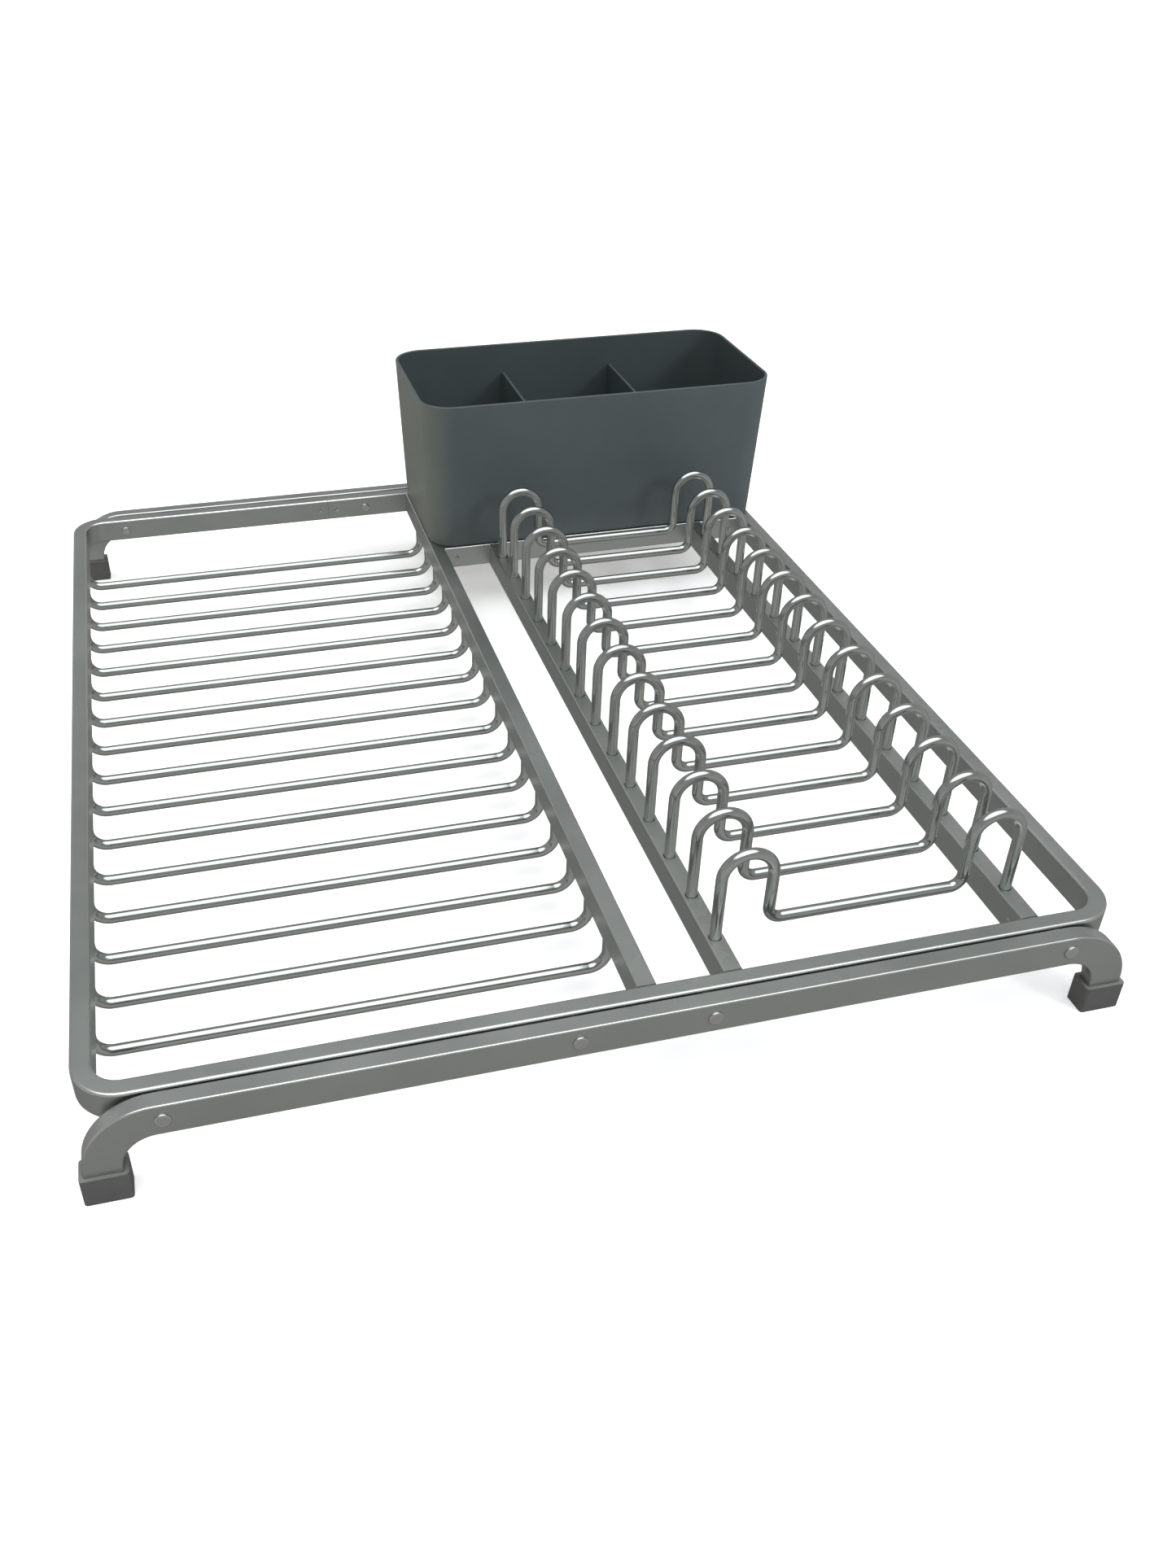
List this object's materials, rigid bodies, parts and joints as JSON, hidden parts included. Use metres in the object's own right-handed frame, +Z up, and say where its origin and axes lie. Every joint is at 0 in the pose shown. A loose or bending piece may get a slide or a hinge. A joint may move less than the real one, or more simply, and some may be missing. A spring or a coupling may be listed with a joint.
{
  "type": "dish drying rack",
  "caption": "Low metal dish drying rack with a sunken wire shelf, two rows of plate loops, capped feet and a lift-out three-part cutlery holder.",
  "frame": {"origin": "bottom centre of the whole rack, on the worktop between the four feet", "axes": "+X to the right seen from the front, +Y to the back, +Z up"},
  "size_m": [0.4584, 0.5556, 0.141],
  "materials": {
    "tube": "satin anodised",
    "wire": "drawn and lightly polished",
    "fixings": "satin",
    "foot_cap": "matt moulded",
    "holder": "fine matt moulded"
  },
  "bodies": {
    "rack": {"frame_loop": "tube", "frame_splice": "tube", "middle_rail": "tube", "left_plate_rail": "tube", "right_plate_rail": "tube", "holder_rail": "tube", "rail_plugs": "fixings", "front_leg_bar": "tube", "back_leg_bar": "tube", "front_rivets": "fixings", "back_rivets": "fixings", "front_spacers": "fixings", "back_spacers": "fixings", "foot_cap_front_left": "foot_cap", "foot_cap_front_right": "foot_cap", "foot_cap_back_left": "foot_cap", "foot_cap_back_right": "foot_cap", "shelf_wire_01": "wire", "shelf_wire_02": "wire", "shelf_wire_03": "wire", "shelf_wire_04": "wire", "shelf_wire_05": "wire", "shelf_wire_06": "wire", "shelf_wire_07": "wire", "shelf_wire_08": "wire", "shelf_wire_09": "wire", "shelf_wire_10": "wire", "shelf_wire_11": "wire", "shelf_wire_12": "wire", "shelf_wire_13": "wire", "shelf_wire_14": "wire", "shelf_wire_15": "wire", "shelf_wire_16": "wire", "plate_wire_01": "wire", "plate_wire_02": "wire", "plate_wire_03": "wire", "plate_wire_04": "wire", "plate_wire_05": "wire", "plate_wire_06": "wire", "plate_wire_07": "wire", "plate_wire_08": "wire", "plate_wire_09": "wire", "plate_wire_10": "wire", "plate_wire_11": "wire", "plate_wire_12": "wire", "plate_wire_13": "wire", "plate_wire_14": "wire"},
    "holder": {"cutlery_holder": "holder"}
  },
  "joints": [
    {"name": "holder_lift", "type": "slide", "parent": "rack", "child": "holder", "axis": [0, 0, 1], "range_m": [0, 0.1]}
  ]
}
